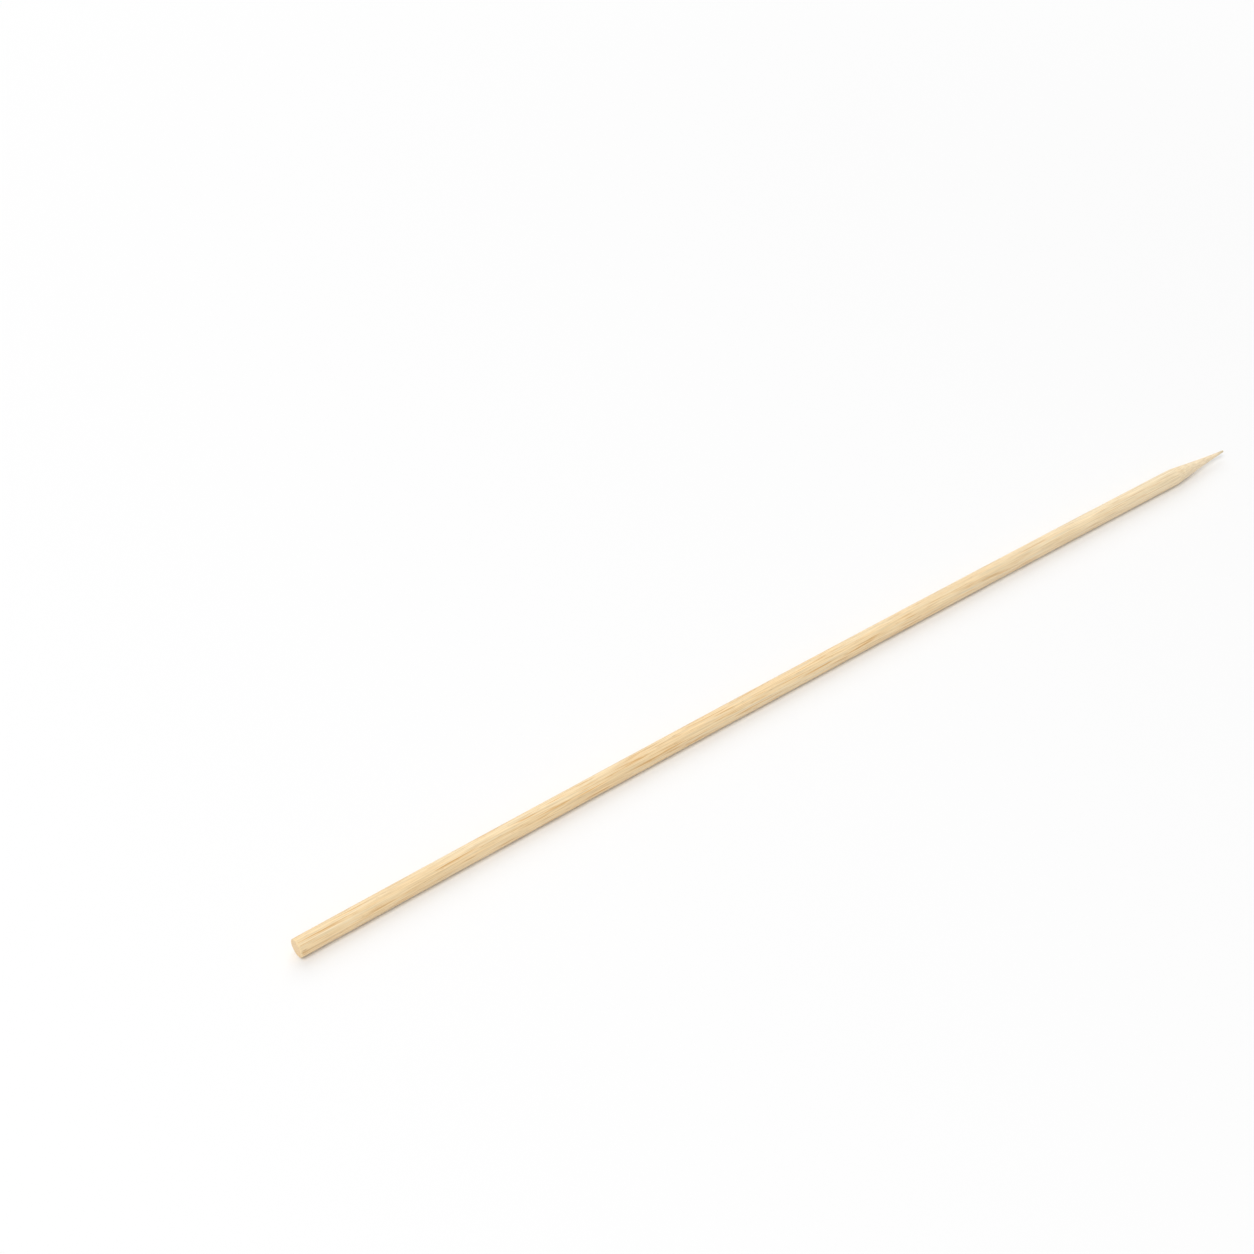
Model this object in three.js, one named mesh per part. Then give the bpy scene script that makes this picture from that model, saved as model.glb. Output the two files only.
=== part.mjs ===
// A round bamboo skewer: one stick, drawn round, sawn square at the butt and ground to a point.
// Millimetres, +Z up. It lies along X as it rests on a table, butt at -X and point at +X, with its
// slight natural bow level, so the whole shaft touches the surface at z = 0.
import * as THREE from "three";
import { mergeVertices } from "three/addons/utils/BufferGeometryUtils.js";

// Driving dimensions
const LENGTH = 250; // end to end along the stick
const DIAMETER = 4; // of the finished shaft
const POINT_LENGTH = 16.5; // from the shoulder to the very tip
const SHOULDER_LENGTH = 5; // over which the shaft runs softly into the ground point
const POINT_HOLLOW = 0.12; // how far the grinding wheel sinks the flank below a straight cone
const TIP_DIAMETER = 0.5; // blunt end that grinding leaves, so that the tip doesn't splinter
const BUTT_BREAK = 0.2; // radius that tumbling gives to the sawn edge
const BOW = 0.8; // offset of the middle from a straight line through the two ends

// How finely the stick is divided
const SIDES = 32;
const BREAK_STEPS = 3;
const SHAFT_STEPS = 12;
const SHOULDER_STEPS = 5;
const FLANK_STEPS = 10;
const TIP_STEPS = 4;

const RADIUS = DIAMETER / 2;
const TIP_RADIUS = TIP_DIAMETER / 2;
const QUARTER_TURN = Math.PI / 2;
const HALF_FACET = Math.PI / SIDES;
const FACET_REACH = 1 / Math.cos(HALF_FACET); // so that the middle of each facet lies on the round

// Outline from the centre of the sawn butt to the centre of the tip: x is the distance from the axis
// and y the distance from the butt, as a revolve takes them.
function outline() {
  const shoulder = new THREE.Vector2(RADIUS, LENGTH - POINT_LENGTH);
  const tipEdge = new THREE.Vector2(TIP_RADIUS, LENGTH - TIP_RADIUS);

  // The flank's control point, moved in from the middle of the straight cone. A quadratic curve
  // passes half as far in as its control point lies.
  const along = tipEdge.clone().sub(shoulder).normalize();
  const inward = new THREE.Vector2(-along.y, along.x);
  const flankControl = shoulder.clone().add(tipEdge).multiplyScalar(0.5);
  flankControl.addScaledVector(inward, 2 * POINT_HOLLOW);

  // The shoulder is blended by half its length to either side of the corner.
  const intoFlank = flankControl.clone().sub(shoulder).normalize();
  const shaftEnd = new THREE.Vector2(RADIUS, shoulder.y - SHOULDER_LENGTH / 2);
  const flankStart = shoulder.clone().addScaledVector(intoFlank, SHOULDER_LENGTH / 2);

  const buttCentre = new THREE.Vector2(0, 0);
  const buttEdge = new THREE.Vector2(RADIUS - BUTT_BREAK, 0);
  const shaftStart = new THREE.Vector2(RADIUS, BUTT_BREAK);

  const stretches = [
    [new THREE.LineCurve(buttCentre, buttEdge), 1],
    [
      new THREE.EllipseCurve(
        RADIUS - BUTT_BREAK, BUTT_BREAK, BUTT_BREAK, BUTT_BREAK, -QUARTER_TURN, 0),
      BREAK_STEPS,
    ],
    [new THREE.LineCurve(shaftStart, shaftEnd), SHAFT_STEPS],
    [new THREE.QuadraticBezierCurve(shaftEnd, shoulder, flankStart), SHOULDER_STEPS],
    [new THREE.QuadraticBezierCurve(flankStart, flankControl, tipEdge), FLANK_STEPS],
    [
      new THREE.EllipseCurve(0, tipEdge.y, TIP_RADIUS, TIP_RADIUS, 0, QUARTER_TURN),
      TIP_STEPS,
    ],
  ];

  // Each stretch begins where the one before it ended, so its first point is left out.
  const points = stretches.flatMap(([curve, steps]) => curve.getPoints(steps).slice(1));
  points[points.length - 1].x = 0;
  return [buttCentre, ...points];
}

// Bends a straight stick that lies along X with its axis on X into a level arc, so that its middle
// stands BOW towards +Y from the line through its ends, and centres it in Y.
function bow(geometry) {
  const bendRadius = (LENGTH ** 2 / 4 + BOW ** 2) / (2 * BOW);
  const position = geometry.getAttribute("position");
  for (let i = 0; i < position.count; i += 1) {
    const angle = (position.getX(i) - LENGTH / 2) / bendRadius;
    const reach = bendRadius + position.getY(i);
    position.setX(i, reach * Math.sin(angle));
    position.setY(i, reach * Math.cos(angle) - bendRadius + BOW / 2);
  }
}

// The revolve turns about Y, so it is laid down along X, bent, and lifted onto the table. It starts
// half a facet round, so that the stick lies on the flat of a facet and not on an edge.
function skewerGeometry() {
  const revolved = new THREE.LatheGeometry(outline(), SIDES, HALF_FACET);
  revolved.scale(FACET_REACH, 1, FACET_REACH);
  revolved.deleteAttribute("normal");
  revolved.deleteAttribute("uv");
  revolved.rotateZ(-QUARTER_TURN);
  bow(revolved);
  revolved.translate(0, 0, RADIUS);
  const closed = mergeVertices(revolved);
  closed.computeVertexNormals();
  return closed;
}

const bamboo = new THREE.MeshStandardMaterial({ color: 0xe6cea6, roughness: 0.6, metalness: 0 });

const skewer = new THREE.Mesh(skewerGeometry(), bamboo);
skewer.name = "skewer";

const group = new THREE.Group();
group.add(skewer);

export default group;
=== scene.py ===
"""A single bamboo skewer lying on a white table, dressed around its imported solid.

The stick is one piece of split bamboo, drawn round, sawn square at the butt and ground to a point.
Its surface follows one rule, an outline turned about an axis and then bent, so Geometry Nodes make it.
All lengths are in metres unless a name says otherwise.
"""

import logging
import math
from dataclasses import dataclass, field
from enum import Enum
from typing import Any

import bpy
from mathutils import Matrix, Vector


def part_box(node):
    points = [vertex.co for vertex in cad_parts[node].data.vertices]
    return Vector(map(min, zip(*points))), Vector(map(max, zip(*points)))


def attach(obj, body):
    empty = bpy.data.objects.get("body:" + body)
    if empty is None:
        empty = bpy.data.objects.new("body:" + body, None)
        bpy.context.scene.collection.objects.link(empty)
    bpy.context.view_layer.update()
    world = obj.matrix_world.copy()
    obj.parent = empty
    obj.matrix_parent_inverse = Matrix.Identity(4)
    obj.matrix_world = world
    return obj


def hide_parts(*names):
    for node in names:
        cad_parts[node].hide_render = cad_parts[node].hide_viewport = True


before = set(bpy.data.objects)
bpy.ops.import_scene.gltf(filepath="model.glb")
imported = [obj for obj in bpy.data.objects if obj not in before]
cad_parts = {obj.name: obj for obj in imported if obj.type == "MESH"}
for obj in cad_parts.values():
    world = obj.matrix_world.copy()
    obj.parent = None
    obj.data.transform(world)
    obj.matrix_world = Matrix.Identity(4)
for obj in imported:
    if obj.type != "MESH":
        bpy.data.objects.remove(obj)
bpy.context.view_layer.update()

LOG = logging.getLogger("skewer")
MM = 0.001
CAD_NODE = "skewer"
CAD_BODY = "root"
GRAIN_ATTRIBUTE = "grain"

# Input and output numbers of the Mix node when it mixes colours.
MIX_A = 6
MIX_B = 7
MIX_COLOUR = 2

# Input number of the factor that a Vector Math node scales by.
SCALE = 3

# Points closer together than this are one, which closes the stick's seam and its two poles.
MERGE_DISTANCE = 0.001 * MM

# Strength of its noise at which a cut begins, and at which it is at its deepest.
CUT_LIMITS = (0.46, 0.74)

# A share times its own rest is at its largest in the middle, where it is a quarter.
LARGEST_DIP = 0.25

# How far the line of the cone is followed back over the shaft, as a share of the cone.
RUN_BACK = 0.5

# The middle of a noise colour, about which it is as often over as under.
NOISE_MIDDLE = (0.5, 0.5, 0.5)


class Kind(str, Enum):
    """The kinds of node that the trees are made of."""

    ADD_SHADER = "ShaderNodeAddShader"
    ATTRIBUTE = "ShaderNodeAttribute"
    BACKGROUND = "ShaderNodeBackground"
    BUMP = "ShaderNodeBump"
    COMBINE = "ShaderNodeCombineXYZ"
    COORDINATES = "ShaderNodeTexCoord"
    DIFFUSE = "ShaderNodeBsdfDiffuse"
    EMISSION = "ShaderNodeEmission"
    FLIP_FACES = "GeometryNodeFlipFaces"
    GRID = "GeometryNodeMeshGrid"
    GROUP_INPUT = "NodeGroupInput"
    GROUP_OUTPUT = "NodeGroupOutput"
    LIGHT_PATH = "ShaderNodeLightPath"
    MAP_RANGE = "ShaderNodeMapRange"
    MATERIAL_OUTPUT = "ShaderNodeOutputMaterial"
    MATH = "ShaderNodeMath"
    MERGE = "GeometryNodeMergeByDistance"
    MIX = "ShaderNodeMix"
    MIX_SHADER = "ShaderNodeMixShader"
    NOISE = "ShaderNodeTexNoise"
    POSITION = "GeometryNodeInputPosition"
    PRINCIPLED = "ShaderNodeBsdfPrincipled"
    REALIZE = "GeometryNodeRealizeInstances"
    SEPARATE = "ShaderNodeSeparateXYZ"
    SET_MATERIAL = "GeometryNodeSetMaterial"
    SET_POSITION = "GeometryNodeSetPosition"
    SHADE_SMOOTH = "GeometryNodeSetShadeSmooth"
    STORE = "GeometryNodeStoreNamedAttribute"
    VECTOR_MATH = "ShaderNodeVectorMath"
    VORONOI = "ShaderNodeTexVoronoi"
    WORLD_OUTPUT = "ShaderNodeOutputWorld"


@dataclass(frozen=True)
class Grain:
    """The length of one pattern's marks along the stick, their width, and how many finer layers."""

    run_mm: float
    width_mm: float
    layers: float = 0.0

    def scale(self) -> tuple[float, float, float]:
        """Returns the factors along X, Y and Z that turn millimetres into marks."""
        return (1 / self.run_mm, 1 / self.width_mm, 1 / self.width_mm)


class Mark(Enum):
    """The marks that grow in bamboo or are left by working it.

    A bundle of fibres is 0.3 to 0.5 mm thick, as drawn. A single fibre is some 0.02 mm thick, which
    is too fine to show, so fibres and flecks are drawn about ten times as coarse.
    """

    FLAT = Grain(run_mm=260.0, width_mm=2.4, layers=1.0)
    CLOUD = Grain(run_mm=50.0, width_mm=3.0, layers=1.0)
    BAND = Grain(run_mm=30.0, width_mm=0.6, layers=2.0)
    BUNDLE = Grain(run_mm=24.0, width_mm=0.38)
    STREAK = Grain(run_mm=9.0, width_mm=0.3, layers=2.0)
    RIDGE = Grain(run_mm=30.0, width_mm=0.32, layers=1.0)
    FIBRE = Grain(run_mm=9.0, width_mm=0.19, layers=2.0)
    FLECK = Grain(run_mm=1.8, width_mm=0.16)


def put(tree: bpy.types.NodeTree, kind: Kind, *values: Any, out: int | str = 0,
        named: dict[str | int, Any] | None = None,
        **settings: Any) -> bpy.types.NodeSocket | None:
    """Adds a node to a tree with its settings, values and links.

    Args:
        tree: The shader or geometry tree that takes the node.
        kind: The kind of node.
        values: Values, or sockets to link from, for the node's first inputs in their order.
        out: Name or number of the output that is wanted.
        named: The same for its other inputs, by the input's name or number.
        settings: The node's own properties by name.

    Returns:
        The wanted output socket, or None for a node that has no outputs.
    """
    node = tree.nodes.new(kind.value)
    for name, value in settings.items():
        setattr(node, name, value)
    for key, value in {**dict(enumerate(values)), **(named or {})}.items():
        if isinstance(value, bpy.types.NodeSocket):
            tree.links.new(value, node.inputs[key])
        else:
            node.inputs[key].default_value = value
    return node.outputs[out] if node.outputs else None


def linear(hex_colour: str) -> tuple[float, float, float, float]:
    """Turns an sRGB hex colour into the linear values that Blender's sockets take.

    Args:
        hex_colour: Six hex digits after a hash sign.

    Returns:
        Linear red, green and blue, and an alpha of 1.
    """
    values = [int(hex_colour[i:i + 2], 16) / 255 for i in (1, 3, 5)]
    red, green, blue = (v / 12.92 if v <= 0.04045 else ((v + 0.055) / 1.055) ** 2.4 for v in values)
    return (red, green, blue, 1.0)


@dataclass(frozen=True)
class PlanedBamboo:
    """Split moso bamboo, drawn through a round die and left unvarnished.

    It gives the eye pale straw with a soft satin sheen, fine golden lines where fibre bundles reach
    the surface, broader honey bands between them, and dots where the same bundles are sawn across.
    The bundles stand closer together towards the side that was the outside of the cane.
    """

    pale: str = "#FDE4B8"
    straw: str = "#FBDDAC"
    honey: str = "#DAA152"
    cream: str = "#FBEBCB"
    fleck: str = "#A9783F"
    ground_flank: str = "#FFEBCB"
    worn_tip: str = "#CFC19C"
    sawn_end: str = "#FCD9A6"
    # Painted highlight: a pale warm band laid round the butt's broken edge, standing in for the light
    # that its rim catches.
    painted_rim_highlight: str = "#FFE4B4"
    roughness: float = 0.46
    roughness_spread: float = 0.08
    specular: float = 0.5
    wander_run_mm: float = 70.0
    wander_reach_mm: float = 0.55
    slope: tuple[float, float, float] = (0.0, 0.006, -0.004)
    outer_side: tuple[float, float, float] = (0.0, 0.5, 0.87)
    crowding_per_mm: float = 0.06
    tone_limits: tuple[float, float] = (0.78, 1.22)
    bundle_limits: tuple[float, float] = (0.46, 0.14)
    bundle_strength: float = 0.2
    bundle_sink: float = 0.6
    streak_limits: tuple[float, float] = (0.54, 0.7)
    streak_strength: float = 0.7
    cream_limits: tuple[float, float] = (0.44, 0.3)
    cream_strength: float = 0.5
    fleck_limits: tuple[float, float] = (0.75, 0.84)
    fleck_strength: float = 0.35
    fibre_limits: tuple[float, float] = (0.3, 0.7)
    fibre_contrast: float = 0.24
    paling: float = 0.45
    paling_from: float = 0.45
    flank_strength: float = 0.5
    tip_strength: float = 0.6
    tip_length_mm: float = 3.0
    end_strength: float = 0.85
    end_depth: float = 0.1
    bump_mm: float = 0.014

    def material(self, length_mm: float, point_mm: float, break_mm: float) -> bpy.types.Material:
        """Builds the bamboo as a solid pattern, read from where each point sat in the straight stick.

        Args:
            length_mm: Length of the stick.
            point_mm: Length of its ground point.
            break_mm: Radius of the broken edge round the sawn end.

        Returns:
            The finished material.
        """
        made = bpy.data.materials.new("planed_bamboo")
        made.use_nodes = True
        tree = made.node_tree
        tree.nodes.clear()
        grain = put(tree, Kind.ATTRIBUTE, out="Vector", attribute_name=GRAIN_ATTRIBUTE)
        along = put(tree, Kind.SEPARATE, grain, out="X")
        drifted = self._crowd(tree, self._wander(tree, grain, along))
        bundles = self._bundles(tree, drifted)
        fibres = self._marks(tree, drifted, Mark.FIBRE)

        colour = self._ground(tree, drifted)
        colour = self._lay(tree, colour, self.honey, bundles, (0.0, 1.0), self.bundle_strength)
        streaks = self._marks(tree, drifted, Mark.STREAK)
        flecks = self._marks(tree, grain, Mark.FLECK)
        flank_from = length_mm - point_mm
        layers = [
            (self.honey, streaks, self.streak_limits, self.streak_strength),
            (self.cream, streaks, self.cream_limits, self.cream_strength),
            (self.fleck, flecks, self.fleck_limits, self.fleck_strength),
            (self.cream, along, (self.paling_from * length_mm, length_mm), self.paling),
            (self.ground_flank, along, (flank_from, flank_from + point_mm / 2), self.flank_strength),
            (self.worn_tip, along, (length_mm - self.tip_length_mm, length_mm), self.tip_strength),
            # Painted highlight along the broken edge round the sawn end.
            (self.painted_rim_highlight, along, (2 * break_mm, break_mm), self.end_strength),
            (self.sawn_end, along, (self.end_depth * break_mm, 0.0), self.end_strength),
        ]
        for over, measure, limits, strength in layers:
            colour = self._lay(tree, colour, over, measure, limits, strength)
        shade = put(tree, Kind.MAP_RANGE, fibres, *self.fibre_limits, 1 - self.fibre_contrast, 1.0)
        colour = put(tree, Kind.VECTOR_MATH, colour, named={SCALE: shade}, operation="SCALE")

        height = put(tree, Kind.MATH, bundles, -self.bundle_sink, fibres,
                     operation="MULTIPLY_ADD")
        bump = put(tree, Kind.BUMP, named={"Height": height, "Distance": self.bump_mm * MM})
        rough = put(tree, Kind.MAP_RANGE, fibres, 0.0, 1.0, self.roughness - self.roughness_spread,
                    self.roughness + self.roughness_spread)
        surface = put(tree, Kind.PRINCIPLED, named={
            "Base Color": colour,
            "Roughness": rough,
            "Normal": bump,
            "Specular IOR Level": self.specular,
        })
        put(tree, Kind.MATERIAL_OUTPUT, surface)
        return made

    def _wander(self, tree: bpy.types.NodeTree, grain: bpy.types.NodeSocket,
                along: bpy.types.NodeSocket) -> bpy.types.NodeSocket:
        """Lets the fibres run slightly askew and waver, so that they come and go at the surface.

        Args:
            tree: The material's tree.
            grain: Place in the straight stick, in millimetres.
            along: Its distance from the butt.

        Returns:
            The place with the fibres' own drift added.
        """
        turn = put(tree, Kind.MATH, along, self.wander_run_mm, operation="DIVIDE")
        waver = put(tree, Kind.NOISE, named={"W": turn, "Scale": 1.0, "Detail": 1.0}, out="Color",
                    noise_dimensions="1D")
        centred = put(tree, Kind.VECTOR_MATH, waver, NOISE_MIDDLE, operation="SUBTRACT")
        reach = (0.0, self.wander_reach_mm, self.wander_reach_mm)
        moved = put(tree, Kind.VECTOR_MATH, centred, reach, grain, operation="MULTIPLY_ADD")
        lengthwise = put(tree, Kind.COMBINE, along, along, along)
        return put(tree, Kind.VECTOR_MATH, lengthwise, self.slope, moved, operation="MULTIPLY_ADD")

    def _crowd(self, tree: bpy.types.NodeTree,
               place: bpy.types.NodeSocket) -> bpy.types.NodeSocket:
        """Draws the pattern together towards the side that was the outside of the cane.

        Args:
            tree: The material's tree.
            place: Place in the straight stick, in millimetres.

        Returns:
            The place at which to read the pattern.
        """
        depth = put(tree, Kind.VECTOR_MATH, place, self.outer_side, out="Value",
                    operation="DOT_PRODUCT")
        square = put(tree, Kind.MATH, depth, depth, operation="MULTIPLY")
        push = tuple(self.crowding_per_mm * share for share in self.outer_side)
        spread = put(tree, Kind.COMBINE, square, square, square)
        return put(tree, Kind.VECTOR_MATH, spread, push, place, operation="MULTIPLY_ADD")

    def _marks(self, tree: bpy.types.NodeTree, place: bpy.types.NodeSocket,
               mark: Mark) -> bpy.types.NodeSocket:
        """Adds marks of one size, long along the stick and narrow across it.

        Args:
            tree: The material's tree.
            place: Where to read them, in millimetres.
            mark: Their size and how many finer layers they have.

        Returns:
            Their strength, from 0 to 1.
        """
        scaled = put(tree, Kind.VECTOR_MATH, place, mark.value.scale(), operation="MULTIPLY")
        return put(tree, Kind.NOISE, out="Fac",
                   named={"Vector": scaled, "Scale": 1.0, "Detail": mark.value.layers})

    def _bundles(self, tree: bpy.types.NodeTree,
                 place: bpy.types.NodeSocket) -> bpy.types.NodeSocket:
        """Adds the fibre bundles, long thin bodies that show as lines on the side and dots on an end.

        Args:
            tree: The material's tree.
            place: Where to read them, in millimetres.

        Returns:
            How deep inside a bundle a point lies, from 0 to 1.
        """
        scaled = put(tree, Kind.VECTOR_MATH, place, Mark.BUNDLE.value.scale(),
                     operation="MULTIPLY")
        near = put(tree, Kind.VORONOI, named={"Vector": scaled, "Scale": 1.0}, out="Distance")
        return put(tree, Kind.MAP_RANGE, near, *self.bundle_limits,
                   interpolation_type="SMOOTHSTEP")

    def _ground(self, tree: bpy.types.NodeTree,
                place: bpy.types.NodeSocket) -> bpy.types.NodeSocket:
        """Adds the even straw of the softer tissue between the bundles, in bands and clouds.

        Args:
            tree: The material's tree.
            place: Where to read it, in millimetres.

        Returns:
            The colour.
        """
        bands = self._marks(tree, place, Mark.BAND)
        clouds = self._marks(tree, place, Mark.CLOUD)
        tone = put(tree, Kind.MATH, bands, clouds, operation="ADD")
        tone = put(tree, Kind.MAP_RANGE, tone, *self.tone_limits, interpolation_type="SMOOTHSTEP")
        return put(tree, Kind.MIX, tone, out=MIX_COLOUR, data_type="RGBA",
                   named={MIX_A: linear(self.pale), MIX_B: linear(self.straw)})

    def _lay(self, tree: bpy.types.NodeTree, under: bpy.types.NodeSocket, over: str,
             measure: bpy.types.NodeSocket, limits: tuple[float, float],
             strength: float) -> bpy.types.NodeSocket:
        """Lays one colour over another where a measure lies past a limit.

        Args:
            tree: The material's tree.
            under: The colour so far.
            over: The hex colour that comes over it.
            measure: What says where.
            limits: The measure where the new colour begins, and where it is at its strongest.
            strength: How much it then covers, from 0 to 1.

        Returns:
            The colour with both in it.
        """
        cover = put(tree, Kind.MAP_RANGE, measure, *limits, 0.0, strength,
                    interpolation_type="SMOOTHSTEP")
        return put(tree, Kind.MIX, cover, out=MIX_COLOUR, data_type="RGBA",
                   named={MIX_A: under, MIX_B: linear(over)})


@dataclass(frozen=True)
class WhiteTable:
    """Matt white laminate, which gives the eye a clean ground that still takes a soft shadow.

    The glow and the fade, whose distances are from the skewer, are seen but light nothing.
    """

    colour: str = "#F4F4F4"
    glow: float = 0.02
    fade_from: float = 0.16
    fade_to: float = 0.5

    def material(self) -> bpy.types.Material:
        """Builds the table's surface, brought up to white for the eye alone as it runs into the sky.

        Returns:
            The finished material.
        """
        made = bpy.data.materials.new("white_table")
        made.use_nodes = True
        tree = made.node_tree
        tree.nodes.clear()
        seen = seen_directly(tree)
        matt = put(tree, Kind.DIFFUSE, linear(self.colour))
        strength = put(tree, Kind.MATH, seen, self.glow, operation="MULTIPLY")
        glow = put(tree, Kind.EMISSION, named={"Strength": strength})
        near = put(tree, Kind.ADD_SHADER, matt, glow)
        away = put(tree, Kind.VECTOR_MATH, put(tree, Kind.COORDINATES, out="Object"), out="Value",
                   operation="LENGTH")
        fade = put(tree, Kind.MAP_RANGE, away, self.fade_from, self.fade_to,
                   interpolation_type="SMOOTHSTEP")
        fade = put(tree, Kind.MATH, fade, seen, operation="MULTIPLY")
        put(tree, Kind.MATERIAL_OUTPUT,
            put(tree, Kind.MIX_SHADER, fade, near, put(tree, Kind.EMISSION)))
        return made


def seen_directly(tree: bpy.types.NodeTree) -> bpy.types.NodeSocket:
    """Adds the test that tells the eye's own rays from the light that falls on things.

    Args:
        tree: A material's or the world's tree.

    Returns:
        1 for camera, glossy and transmission rays, and 0 for all others.
    """
    camera = put(tree, Kind.LIGHT_PATH, out="Is Camera Ray")
    path = camera.node.outputs
    either = put(tree, Kind.MATH, camera, path["Is Glossy Ray"], operation="MAXIMUM")
    return put(tree, Kind.MATH, either, path["Is Transmission Ray"], operation="MAXIMUM")


@dataclass
class SkewerShape:
    """The rule that the stick's surface follows, as a Geometry Nodes tree with its sizes as inputs."""

    floats: dict[str, float]
    counts: dict[str, int]
    tree: bpy.types.NodeTree = field(init=False)
    given: dict[str, bpy.types.NodeSocket] = field(init=False)

    def build(self) -> bpy.types.NodeTree:
        """Builds the tree.

        Returns:
            The finished tree, ready for a modifier.
        """
        self.tree = bpy.data.node_groups.new("skewer_shape", "GeometryNodeTree")
        face = self.tree.interface
        for name in self.floats:
            face.new_socket(name, in_out="INPUT", socket_type="NodeSocketFloat")
        for name in self.counts:
            face.new_socket(name, in_out="INPUT", socket_type="NodeSocketInt")
        face.new_socket("Finish", in_out="INPUT", socket_type="NodeSocketMaterial")
        face.new_socket("Geometry", in_out="OUTPUT", socket_type="NodeSocketGeometry")
        entry = put(self.tree, Kind.GROUP_INPUT)
        self.given = {socket.name: socket for socket in entry.node.outputs if socket.name}

        grid, station, angle = self._grid()
        along = self._along(station)
        radius = self._radius(along, station)
        straight = self._straight(along, radius, angle)
        shaped = self._relieve(grid, straight, radius)
        bent = self._bend(shaped)
        closed = put(self.tree, Kind.MERGE, named={"Geometry": bent, "Distance": MERGE_DISTANCE})
        outward = put(self.tree, Kind.FLIP_FACES, closed)
        smooth = put(self.tree, Kind.SHADE_SMOOTH, outward)
        whole = put(self.tree, Kind.REALIZE, smooth)
        dressed = put(self.tree, Kind.SET_MATERIAL,
                      named={"Geometry": whole, "Material": self.given["Finish"]})
        put(self.tree, Kind.GROUP_OUTPUT, dressed)
        return self.tree

    def _grid(self) -> tuple[bpy.types.NodeSocket, bpy.types.NodeSocket, bpy.types.NodeSocket]:
        """Adds the flat grid that is wrapped into the stick.

        Returns:
            The grid, the number of each point's ring, and its angle round the stick.
        """
        tree, rings = self.tree, self.given["Rings"]
        columns = put(tree, Kind.MATH, self.given["Sides"], 1, operation="ADD")
        grid = put(tree, Kind.GRID, 1.0, 1.0, rings, columns)
        flat = put(tree, Kind.SEPARATE, grid.node.outputs["UV Map"])
        last = put(tree, Kind.MATH, rings, 1, operation="SUBTRACT")
        station = put(tree, Kind.MATH, flat, last, operation="MULTIPLY")
        station = put(tree, Kind.MATH, station, operation="ROUND")
        angle = put(tree, Kind.MATH, flat.node.outputs["Y"], math.tau, operation="MULTIPLY")
        return grid, station, angle

    def _along(self, station: bpy.types.NodeSocket) -> bpy.types.NodeSocket:
        """Places the rings along the stick, crowded towards both ends, where it turns sharply.

        Args:
            station: The ring's number. The first rings all lie in the sawn face.

        Returns:
            Distance from the butt.
        """
        tree, given = self.tree, self.given
        on_stick = put(tree, Kind.MATH, station, given["Face Rings"], operation="SUBTRACT")
        steps = put(tree, Kind.MATH, given["Rings"], given["Face Rings"], operation="SUBTRACT")
        steps = put(tree, Kind.MATH, steps, 1, operation="SUBTRACT")
        share = put(tree, Kind.MATH, on_stick, steps, operation="DIVIDE", use_clamp=True)
        half_turn = put(tree, Kind.MATH, share, math.pi, operation="MULTIPLY")
        cosine = put(tree, Kind.MATH, half_turn, operation="COSINE")
        crowded = put(tree, Kind.MATH, cosine, -0.5, 0.5, operation="MULTIPLY_ADD")
        shift = put(tree, Kind.MATH, crowded, share, operation="SUBTRACT")
        share = put(tree, Kind.MATH, shift, given["Crowding"], share, operation="MULTIPLY_ADD")
        return put(tree, Kind.MATH, share, given["Length"], operation="MULTIPLY")

    def _radius(self, along: bpy.types.NodeSocket,
                station: bpy.types.NodeSocket) -> bpy.types.NodeSocket:
        """Gives each ring its radius: broken edge, shaft, soft shoulder, hollow cone, round tip.

        Args:
            along: Distance from the butt.
            station: The ring's number.

        Returns:
            The radius.
        """
        tree, given = self.tree, self.given
        full, tip, edge = given["Radius"], given["Tip Radius"], given["Butt Break"]
        left = put(tree, Kind.MATH, given["Length"], along, operation="SUBTRACT")
        past = put(tree, Kind.MATH, given["Point Length"], left, operation="SUBTRACT")
        cone_length = put(tree, Kind.MATH, given["Point Length"], tip, operation="SUBTRACT")
        share = put(tree, Kind.MATH, past, cone_length, operation="DIVIDE")
        share = put(tree, Kind.MATH, share, -RUN_BACK, operation="MAXIMUM")
        share = put(tree, Kind.MATH, share, 1.0, operation="MINIMUM")
        slimmer = put(tree, Kind.MATH, tip, full, operation="SUBTRACT")
        cone = put(tree, Kind.MATH, slimmer, share, full, operation="MULTIPLY_ADD")
        other = put(tree, Kind.MATH, 1.0, share, operation="SUBTRACT")
        dip = put(tree, Kind.MATH, share, other, operation="MULTIPLY")
        deepest = put(tree, Kind.MATH, given["Point Hollow"], -1 / LARGEST_DIP,
                      operation="MULTIPLY")
        cone = put(tree, Kind.MATH, dip, deepest, cone, operation="MULTIPLY_ADD")
        body = put(tree, Kind.MATH, full, cone, given["Shoulder Blend"], operation="SMOOTH_MIN")

        nose = put(tree, Kind.MATH, left, tip, operation="DIVIDE", use_clamp=True)
        body = put(tree, Kind.MATH, body, self._quarter_round(nose), operation="MULTIPLY")
        rise = put(tree, Kind.MATH, along, edge, operation="DIVIDE", use_clamp=True)
        missing = put(tree, Kind.MATH, 1.0, self._quarter_round(rise), operation="SUBTRACT")
        missing = put(tree, Kind.MATH, missing, edge, operation="MULTIPLY")
        body = put(tree, Kind.MATH, body, missing, operation="SUBTRACT")
        in_face = put(tree, Kind.MATH, station, given["Face Rings"], operation="DIVIDE",
                      use_clamp=True)
        return put(tree, Kind.MATH, body, in_face, operation="MULTIPLY")

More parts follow.
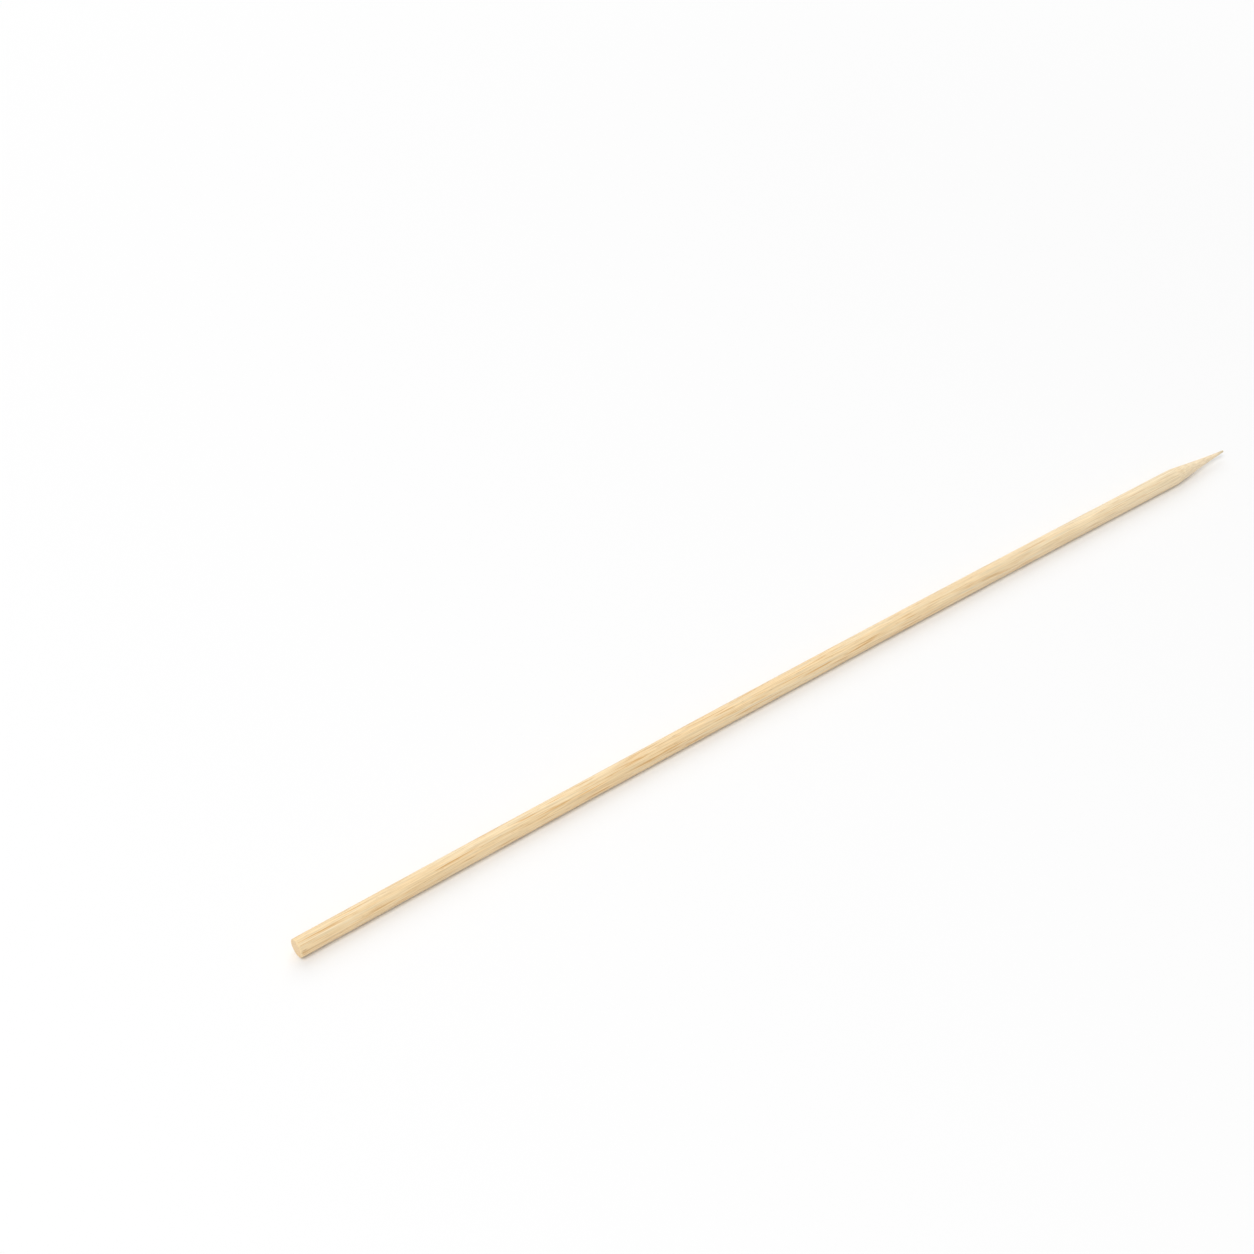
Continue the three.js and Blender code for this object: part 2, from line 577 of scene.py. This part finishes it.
    def _quarter_round(self, share: bpy.types.NodeSocket) -> bpy.types.NodeSocket:
        """Turns a share of a quarter circle's width into its height.

        Args:
            share: From 0 at the outside to 1 at the middle.

        Returns:
            From 0 to 1 along the quarter circle.
        """
        rest = put(self.tree, Kind.MATH, 1.0, share, operation="SUBTRACT")
        square = put(self.tree, Kind.MATH, rest, rest, operation="MULTIPLY")
        height = put(self.tree, Kind.MATH, 1.0, square, operation="SUBTRACT")
        return put(self.tree, Kind.MATH, height, operation="SQRT")

    def _straight(self, along: bpy.types.NodeSocket, radius: bpy.types.NodeSocket,
                  angle: bpy.types.NodeSocket) -> bpy.types.NodeSocket:
        """Places each point on the straight stick, whose axis is X and whose butt is at 0.

        Args:
            along: Distance from the butt.
            radius: Distance from the axis.
            angle: Angle round the axis.

        Returns:
            The place.
        """
        cosine = put(self.tree, Kind.MATH, angle, operation="COSINE")
        sine = put(self.tree, Kind.MATH, angle, operation="SINE")
        across = put(self.tree, Kind.MATH, radius, cosine, operation="MULTIPLY")
        upward = put(self.tree, Kind.MATH, radius, sine, operation="MULTIPLY")
        return put(self.tree, Kind.COMBINE, along, across, upward)

    def _cut(self, place_mm: bpy.types.NodeSocket, mark: Mark,
             depth: bpy.types.NodeSocket) -> bpy.types.NodeSocket:
        """Adds a shallow cut that follows marks of one size and leaves the round between them.

        Args:
            place_mm: Where to read the marks, in millimetres.
            mark: Their size.
            depth: How deep the cut is at its deepest.

        Returns:
            The depth of the cut.
        """
        scaled = put(self.tree, Kind.VECTOR_MATH, place_mm, mark.value.scale(),
                     operation="MULTIPLY")
        moved = put(self.tree, Kind.VECTOR_MATH, scaled, self.given["Seed"], operation="ADD")
        strength = put(self.tree, Kind.NOISE, out="Fac",
                       named={"Vector": moved, "Scale": 1.0, "Detail": mark.value.layers})
        return put(self.tree, Kind.MAP_RANGE, strength, *CUT_LIMITS, 0.0, depth,
                   interpolation_type="SMOOTHSTEP")

    def _relieve(self, grid: bpy.types.NodeSocket, straight: bpy.types.NodeSocket,
                 radius: bpy.types.NodeSocket) -> bpy.types.NodeSocket:
        """Cuts the die's soft flats and the fibres' fine grooves into the round, never out of it.

        Args:
            grid: The flat grid.
            straight: Each point's place on the straight stick.
            radius: Its distance from the axis.

        Returns:
            The straight stick, with its places in millimetres stored for the finish.
        """
        tree, given = self.tree, self.given
        place_mm = put(tree, Kind.VECTOR_MATH, straight, named={SCALE: 1 / MM}, operation="SCALE")
        flats = self._cut(place_mm, Mark.FLAT, given["Flat Depth"])
        grooves = self._cut(place_mm, Mark.RIDGE, given["Groove Depth"])
        cut = put(tree, Kind.MATH, flats, grooves, operation="ADD")
        full = put(tree, Kind.MATH, radius, given["Radius"], operation="DIVIDE", use_clamp=True)
        cut = put(tree, Kind.MATH, cut, full, operation="MULTIPLY")
        left = put(tree, Kind.MATH, 1.0, cut, operation="SUBTRACT")
        squeeze = put(tree, Kind.COMBINE, 1.0, left, left)
        place = put(tree, Kind.VECTOR_MATH, straight, squeeze, operation="MULTIPLY")
        placed = put(tree, Kind.SET_POSITION, named={"Geometry": grid, "Position": place})
        return put(tree, Kind.STORE, data_type="FLOAT_VECTOR", domain="POINT",
                   named={"Geometry": placed, "Name": GRAIN_ATTRIBUTE, "Value": place_mm})

    def _bend(self, geometry: bpy.types.NodeSocket) -> bpy.types.NodeSocket:
        """Bends the stick into its level bow and lifts it onto the table.

        Args:
            geometry: The straight stick.

        Returns:
            The bent stick in the row's own frame.
        """
        tree, given = self.tree, self.given
        here = put(tree, Kind.SEPARATE, put(tree, Kind.POSITION))
        across, upward = here.node.outputs["Y"], here.node.outputs["Z"]
        bend = given["Bend Radius"]
        half = put(tree, Kind.MATH, given["Length"], 0.5, operation="MULTIPLY")
        centred = put(tree, Kind.MATH, here, half, operation="SUBTRACT")
        turn = put(tree, Kind.MATH, centred, bend, operation="DIVIDE")
        sine = put(tree, Kind.MATH, turn, operation="SINE")
        cosine = put(tree, Kind.MATH, turn, operation="COSINE")
        reach = put(tree, Kind.MATH, bend, across, operation="ADD")
        out_x = put(tree, Kind.MATH, reach, sine, operation="MULTIPLY")
        out_y = put(tree, Kind.MATH, reach, cosine, operation="MULTIPLY")
        out_y = put(tree, Kind.MATH, out_y, bend, operation="SUBTRACT")
        out_y = put(tree, Kind.MATH, given["Bow"], 0.5, out_y, operation="MULTIPLY_ADD")
        out_z = put(tree, Kind.MATH, upward, given["Radius"], operation="ADD")
        place = put(tree, Kind.COMBINE, out_x, out_y, out_z)
        return put(tree, Kind.SET_POSITION, named={"Geometry": geometry, "Position": place})


@dataclass
class Skewer:
    """The one piece: a bamboo stick with a sawn butt and a ground point.

    Its length, thickness and bow are read from the solid that it stands for.
    """

    point_length: float = 16.5 * MM
    point_hollow: float = 0.12 * MM
    shoulder_blend: float = 0.35 * MM
    tip_radius: float = 0.25 * MM
    butt_break: float = 0.2 * MM
    flat_depth_share: float = 0.045
    groove_depth_share: float = 0.014
    ring_crowding: float = 0.9
    rings: int = 500
    face_rings: int = 10
    sides: int = 176
    seed: float = 4.0
    finish: PlanedBamboo = PlanedBamboo()
    radius: float = field(init=False)
    bow: float = field(init=False)
    length: float = field(init=False)

    def __post_init__(self) -> None:
        """Reads the driving sizes from the solid's box."""
        low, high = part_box(CAD_NODE)
        size = high - low
        self.radius = size.z / 2
        self.bow = size.y - size.z
        butt_tilt = 4 * self.bow / size.x
        self.length = size.x - butt_tilt * (self.radius - self.butt_break)

    def build(self) -> bpy.types.Object:
        """Makes the stick's mesh with its finish on it.

        Returns:
            The finished piece at the origin.
        """
        floats = {
            "Length": self.length,
            "Radius": self.radius,
            "Point Length": self.point_length,
            "Point Hollow": self.point_hollow,
            "Shoulder Blend": self.shoulder_blend,
            "Tip Radius": self.tip_radius,
            "Butt Break": self.butt_break,
            "Bow": self.bow,
            "Bend Radius": (self.length ** 2 / 4 + self.bow ** 2) / (2 * self.bow),
            "Flat Depth": self.flat_depth_share,
            "Groove Depth": self.groove_depth_share,
            "Crowding": self.ring_crowding,
            "Seed": self.seed,
        }
        counts = {"Rings": self.rings, "Face Rings": self.face_rings, "Sides": self.sides}
        shape = SkewerShape(floats, counts).build()
        carrier = bpy.data.objects.new("skewer_carrier", bpy.data.meshes.new("skewer_carrier"))
        bpy.context.scene.collection.objects.link(carrier)
        modifier = carrier.modifiers.new("shape", "NODES")
        modifier.node_group = shape
        sockets = {socket.name: socket.identifier for socket in shape.interface.items_tree}
        for name, value in {**floats, **counts}.items():
            modifier[sockets[name]] = value
        modifier[sockets["Finish"]] = self.finish.material(
            self.length / MM, self.point_length / MM, self.butt_break / MM)

        graph = bpy.context.evaluated_depsgraph_get()
        mesh = bpy.data.meshes.new_from_object(carrier.evaluated_get(graph),
                                               preserve_all_data_layers=True, depsgraph=graph)
        mesh.name = "bamboo_skewer"
        bpy.data.objects.remove(carrier)
        piece = bpy.data.objects.new("bamboo_skewer", mesh)
        bpy.context.scene.collection.objects.link(piece)
        return piece

    def dress(self, piece: bpy.types.Object) -> None:
        """Ties the finished piece to the solid that it stands for.

        Args:
            piece: The finished stick.
        """
        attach(piece, CAD_BODY)
        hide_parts(CAD_NODE)
        LOG.info("%s: %d faces", piece.name, len(piece.data.polygons))


@dataclass(frozen=True)
class PhotoCamera:
    """The camera of the photograph, set by where it sees the butt and how it is turned."""

    image_px: float = 1254.0
    focal_px: float = 2100.0
    pitch_deg: float = 42.92
    heading_deg: float = 36.28
    butt_px: tuple[float, float] = (295.9, 948.7)
    butt_depth: float = 0.3868
    sensor_width_mm: float = 36.0

    def build(self, butt: Vector) -> bpy.types.Object:
        """Makes the camera and sets it as the scene's own.

        Args:
            butt: The middle of the sawn butt.

        Returns:
            The camera.
        """
        data = bpy.data.cameras.new("photo_camera")
        data.sensor_width = self.sensor_width_mm
        data.lens = self.focal_px / self.image_px * self.sensor_width_mm
        data.clip_start = 10 * MM
        camera = bpy.data.objects.new("photo_camera", data)
        pitch, heading = math.radians(self.pitch_deg), math.radians(self.heading_deg)
        camera.rotation_euler = (math.pi / 2 - pitch, 0.0, -heading)
        turn = camera.rotation_euler.to_matrix()
        half = self.image_px / 2
        right = (self.butt_px[0] - half) / self.focal_px * self.butt_depth
        down = (self.butt_px[1] - half) / self.focal_px * self.butt_depth
        camera.location = butt - turn @ Vector((right, -down, -self.butt_depth))
        bpy.context.scene.collection.objects.link(camera)
        bpy.context.scene.camera = camera
        return camera


@dataclass(frozen=True)
class Lamp:
    """One softbox: the way to it from the skewer, its distance, its side and its power."""

    way: tuple[float, float, float]
    distance: float
    side: float
    power: float


class Softbox(Enum):
    """The studio's lamps."""

    KEY = Lamp(way=(-0.42, -0.22, 0.88), distance=2.6, side=1.2, power=28.5)
    BACK = Lamp(way=(0.3, 0.65, 0.75), distance=2.4, side=2.0, power=17.0)


@dataclass(frozen=True)
class Studio:
    """A white table under soft light, with nothing else in sight."""

    table_reach: float = 12.0
    sky_light: float = 0.54
    table: WhiteTable = WhiteTable()

    def build(self) -> None:
        """Makes the table, the lamps and the sky."""
        self._make_table()
        for box in Softbox:
            self._hang(box)
        self._light_sky()
        bpy.context.scene.view_settings.view_transform = "Standard"

    def _make_table(self) -> None:
        """Makes the table's top, level with the underside of the skewer."""
        reach = self.table_reach
        corners = [(-reach, -reach, 0), (reach, -reach, 0), (reach, reach, 0), (-reach, reach, 0)]
        mesh = bpy.data.meshes.new("table_top")
        mesh.from_pydata(corners, [], [(0, 1, 2, 3)])
        mesh.materials.append(self.table.material())
        top = bpy.data.objects.new("table_top", mesh)
        bpy.context.scene.collection.objects.link(top)

    def _hang(self, box: Softbox) -> None:
        """Hangs one lamp so that it faces the skewer.

        Args:
            box: Which lamp.
        """
        lamp = box.value
        data = bpy.data.lights.new(box.name.lower(), "AREA")
        data.size = lamp.side
        data.energy = lamp.power
        hung = bpy.data.objects.new(box.name.lower(), data)
        direction = Vector(lamp.way).normalized()
        hung.location = direction * lamp.distance
        hung.rotation_mode = "QUATERNION"
        hung.rotation_quaternion = direction.to_track_quat("Z", "Y")
        bpy.context.scene.collection.objects.link(hung)

    def _light_sky(self) -> None:
        """Makes the sky an even soft light that the eye sees as white."""
        world = bpy.data.worlds.new("soft_sky")
        world.use_nodes = True
        tree = world.node_tree
        tree.nodes.clear()
        strength = put(tree, Kind.MAP_RANGE, seen_directly(tree), 0.0, 1.0, self.sky_light, 1.0)
        sky = put(tree, Kind.BACKGROUND, (1.0, 1.0, 1.0, 1.0), strength)
        put(tree, Kind.WORLD_OUTPUT, sky)
        bpy.context.scene.world = world


def main() -> None:
    """Builds the camera, the skewer and the studio, in that order."""
    logging.basicConfig(level=logging.INFO, format="%(name)s %(message)s")
    skewer = Skewer()
    butt = Vector((-skewer.length / 2, -skewer.bow / 2, skewer.radius))
    PhotoCamera().build(butt)
    piece = skewer.build()
    skewer.dress(piece)
    Studio().build()


if __name__ == "__main__":
    main()
